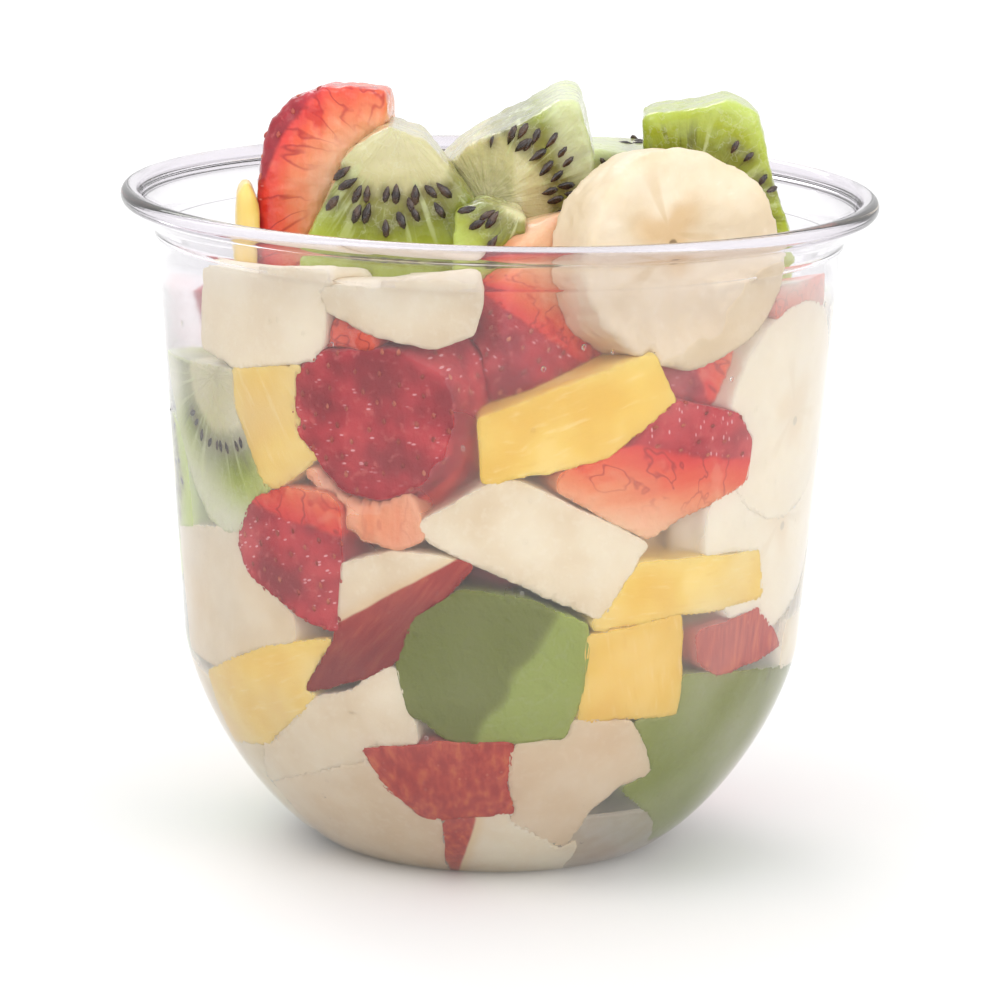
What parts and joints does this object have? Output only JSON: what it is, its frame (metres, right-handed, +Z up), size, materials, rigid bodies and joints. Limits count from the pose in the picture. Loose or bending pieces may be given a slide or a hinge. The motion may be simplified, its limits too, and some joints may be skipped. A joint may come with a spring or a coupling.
{
  "type": "fruit cup",
  "caption": "Clear round-bottomed plastic cup with a rolled rim, heaped with cut fruit: strawberry, kiwi, mango, banana and apple.",
  "frame": {"origin": "middle of the cup's flat foot, at the bottom of the whole", "axes": "+Z up along the cup's axis, -Y towards the shown front, +X to the right of that front"},
  "size_m": [0.098, 0.098, 0.101],
  "materials": {
    "clear_cup": "clear thin moulded plastic, glossy outside, lightly misted inside",
    "strawberry_flesh": "moist strawberry, crimson skin with pale seeds and paler cut flesh",
    "kiwi_flesh": "moist kiwi flesh, pale core, dark seeds",
    "mango_flesh": "moist mango flesh, yellow with soft fibres",
    "banana_flesh": "cream banana flesh with a browner centre",
    "apple_flesh": "cream apple flesh",
    "apple_skin": "red apple skin over cream flesh"
  },
  "bodies": {
    "root": {"apple_block_middle": "apple_flesh", "apple_chunk_back_right": "apple_flesh", "apple_chunk_bottom": "apple_flesh", "apple_chunk_inner_left": "apple_flesh", "apple_chunk_left_top": "apple_flesh", "apple_chunk_lobed": "apple_flesh", "apple_chunk_low": "apple_flesh", "apple_chunk_low_back": "apple_flesh", "apple_chunk_low_right": "apple_flesh", "apple_chunk_lowest": "apple_flesh", "apple_chunk_top_back": "apple_flesh", "apple_skin_chunk_back": "apple_skin", "apple_skin_chunk_low": "apple_skin", "apple_skin_chunk_right": "apple_skin", "apple_wedge_front": "apple_flesh", "apple_wedge_red": "apple_skin", "banana_chunk_back": "banana_flesh", "banana_chunk_behind": "banana_flesh", "banana_chunk_left": "banana_flesh", "banana_chunk_low_left": "banana_flesh", "banana_slice_back_top": "banana_flesh", "banana_slice_right_lower": "banana_flesh", "banana_slice_right_upper": "banana_flesh", "banana_slice_rim": "banana_flesh", "cup": "clear_cup", "kiwi_chunk_back_right": "kiwi_flesh", "kiwi_chunk_low_back_left": "kiwi_flesh", "kiwi_chunk_middle": "kiwi_flesh", "kiwi_chunk_top_left": "kiwi_flesh", "kiwi_chunk_top_right": "kiwi_flesh", "kiwi_chunk_top_small": "kiwi_flesh", "kiwi_slice_left": "kiwi_flesh", "kiwi_slice_top_back": "kiwi_flesh", "kiwi_wedge_back_left": "kiwi_flesh", "kiwi_wedge_low": "kiwi_flesh", "kiwi_wedge_top": "kiwi_flesh", "mango_bar_right": "mango_flesh", "mango_chunk_back_right": "mango_flesh", "mango_chunk_behind": "mango_flesh", "mango_chunk_core": "mango_flesh", "mango_chunk_low_back": "mango_flesh", "mango_chunk_low_left": "mango_flesh", "mango_cube_low": "mango_flesh", "mango_slab_back": "mango_flesh", "mango_slab_front": "mango_flesh", "mango_slab_left": "mango_flesh", "mango_sliver_top": "mango_flesh", "strawberry_back": "strawberry_flesh", "strawberry_back_left": "strawberry_flesh", "strawberry_chip_upper": "strawberry_flesh", "strawberry_chunk_behind": "strawberry_flesh", "strawberry_chunk_low_back": "strawberry_flesh", "strawberry_cube_right": "strawberry_flesh", "strawberry_front": "strawberry_flesh", "strawberry_left": "strawberry_flesh", "strawberry_slice_under": "strawberry_flesh", "strawberry_under_banana": "strawberry_flesh", "strawberry_upper": "strawberry_flesh", "strawberry_wedge_right": "strawberry_flesh", "strawberry_wedge_top": "strawberry_flesh"}
  },
  "joints": []
}
